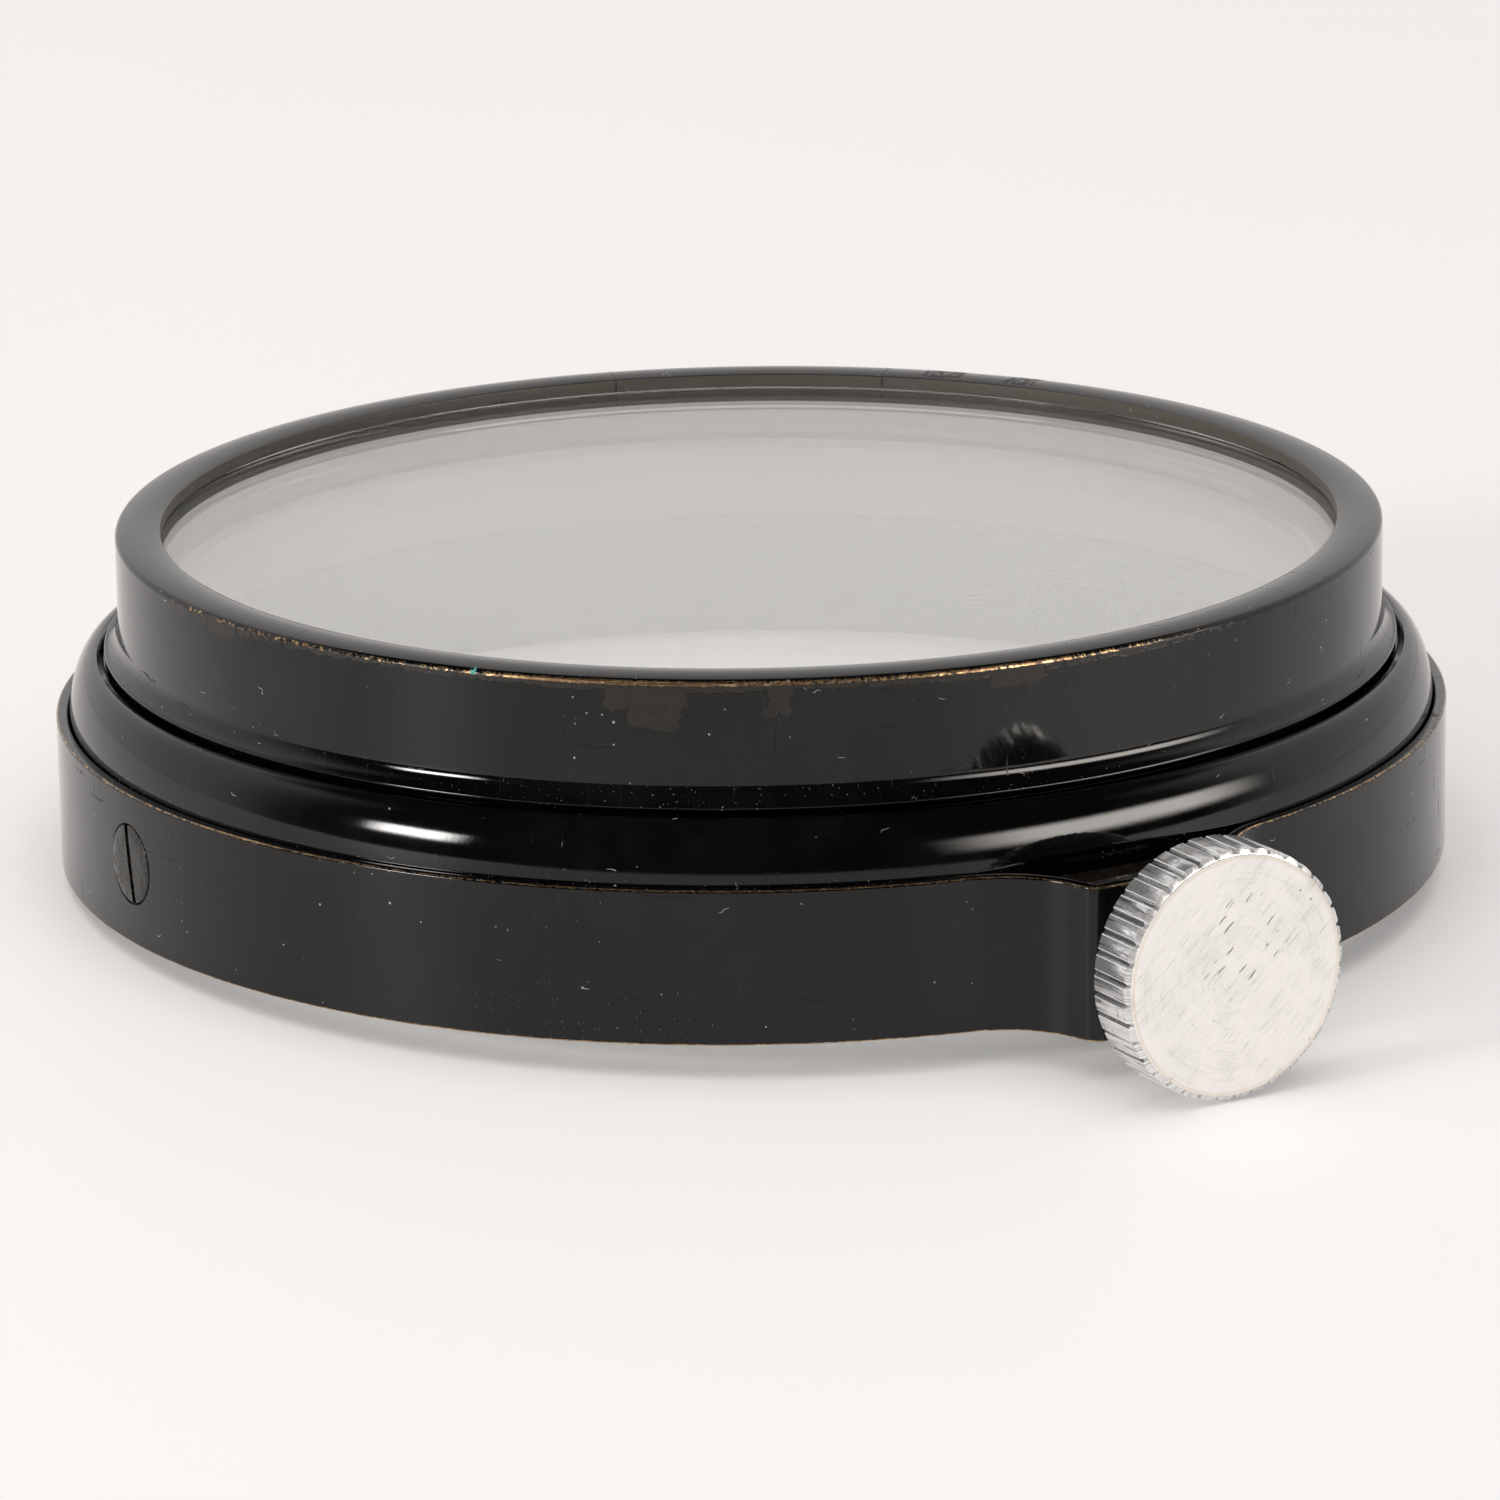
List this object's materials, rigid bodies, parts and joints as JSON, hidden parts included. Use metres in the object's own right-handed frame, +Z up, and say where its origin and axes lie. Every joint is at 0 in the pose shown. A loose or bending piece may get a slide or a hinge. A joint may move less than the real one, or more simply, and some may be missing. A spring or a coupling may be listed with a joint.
{
  "type": "clamp-on darkroom safelight head",
  "caption": "Low round glazed head in black-lacquered brass; its collar grips a lamp tube when a serrated thumbscrew drives a padded shoe inwards.",
  "frame": {"origin": "centre of the collar's open rim, on the ring's own axis", "axes": "+Z up the ring's axis from the clamp towards the glass, -Y along the thumbscrew away from the ring, +X to the right of it"},
  "size_m": [0.07, 0.079, 0.0189],
  "materials": {
    "black_lacquer": "glossy black stoving lacquer over brass, rubbed through to brass along the sharp edges",
    "blacked_brass": "chemically blacked brass, dull",
    "clear_glass": "clear polished plate glass",
    "pale_film": "thin pale translucent sheet",
    "black_tape": "black paper binding tape",
    "cork": "thin sheet cork",
    "black_felt": "short black felt",
    "brass": "turned brass, slightly tarnished",
    "steel": "turned and threaded steel",
    "aluminium": "turned aluminium, face matt and scratched, rim serrated"
  },
  "bodies": {
    "root": {"cell_ring": "black_lacquer", "front_glass": "clear_glass", "filter_film": "pale_film", "rear_glass": "clear_glass", "edge_binding": "black_tape", "rear_gasket": "cork", "retaining_ring": "blacked_brass", "collar_ring": "black_lacquer", "skirt_lining": "black_felt", "clamp_band": "black_lacquer", "band_screw_left": "black_lacquer", "band_screw_back": "black_lacquer", "band_screw_right": "black_lacquer", "clamp_block": "blacked_brass", "block_rivet_left": "blacked_brass", "block_rivet_right": "blacked_brass"},
    "pressure_shoe": {"pressure_shoe": "brass", "shoe_pad": "black_felt"},
    "thumbscrew": {"thumb_shank": "steel", "thumb_knob": "aluminium"}
  },
  "joints": [
    {"name": "shoe_slide", "type": "slide", "parent": "root", "child": "pressure_shoe", "axis": [0, 1, 0], "range_m": [-0.001, 0.001]},
    {"name": "screw_turn", "type": "hinge", "parent": "pressure_shoe", "child": "thumbscrew", "pos_m": [0, -0.041, 0.00403], "axis": [0, 1, 0], "range_deg": [-721, 721]}
  ],
  "couplings": [
    {"joint": "screw_turn", "follows": "shoe_slide", "rad_per_m": 12566}
  ]
}
